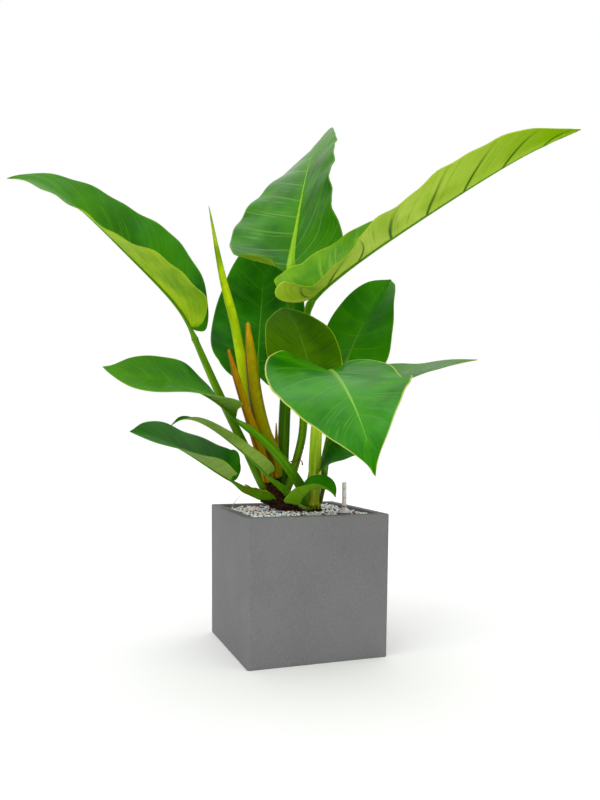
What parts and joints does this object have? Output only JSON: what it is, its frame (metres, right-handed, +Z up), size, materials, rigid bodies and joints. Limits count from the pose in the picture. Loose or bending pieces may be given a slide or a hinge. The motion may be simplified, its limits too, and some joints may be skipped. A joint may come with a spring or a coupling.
{
  "type": "potted imperial green philodendron",
  "caption": "Philodendron with broad lance-shaped leaves on long stalks, rooted in a square concrete planter filled with mineral gravel, with a water gauge.",
  "frame": {"origin": "centre of the planter's underside", "axes": "+Z up, +X to the right along the planter's front, +Y to its back"},
  "size_m": [0.8039, 0.6739, 1.0069],
  "materials": {
    "planter": "grey fibre concrete, matt and finely pitted",
    "gravel": "matt mineral grains in white, peach, brown and black",
    "soil": "dark peat, rough",
    "crown": "brown fibrous stem",
    "leaf": "waxy green with paler midrib and underside",
    "young_leaf": "light green, satin",
    "bud_sheath": "yellow-green drying to orange-brown, satin",
    "gauge_clear": "clear smooth plastic",
    "gauge_collar": "smooth grey-violet plastic",
    "gauge_float": "red plastic"
  },
  "bodies": {
    "root": {"planter": "planter", "gravel": "gravel", "root_ball": "soil", "crown_left": "crown", "crown_right": "crown", "base_sheath": "bud_sheath", "leaf_tall_centre": "leaf", "leaf_upper_left": "leaf", "leaf_upper_right": "leaf", "leaf_back": "leaf", "leaf_left_low": "leaf", "leaf_front": "leaf", "leaf_left_middle": "leaf", "leaf_right_upright": "leaf", "leaf_right_low": "leaf", "leaf_middle": "leaf", "leaf_left_slender": "leaf", "leaf_small_right": "leaf", "leaf_small_front": "leaf", "leaf_rolled": "young_leaf", "bud_sheath_tall": "bud_sheath", "bud_sheath_short": "bud_sheath", "bud_sheath_spike": "bud_sheath", "gauge_shaft": "gauge_clear", "gauge_collar": "gauge_collar", "gauge_tube": "gauge_clear", "gauge_float": "gauge_float"}
  },
  "joints": []
}
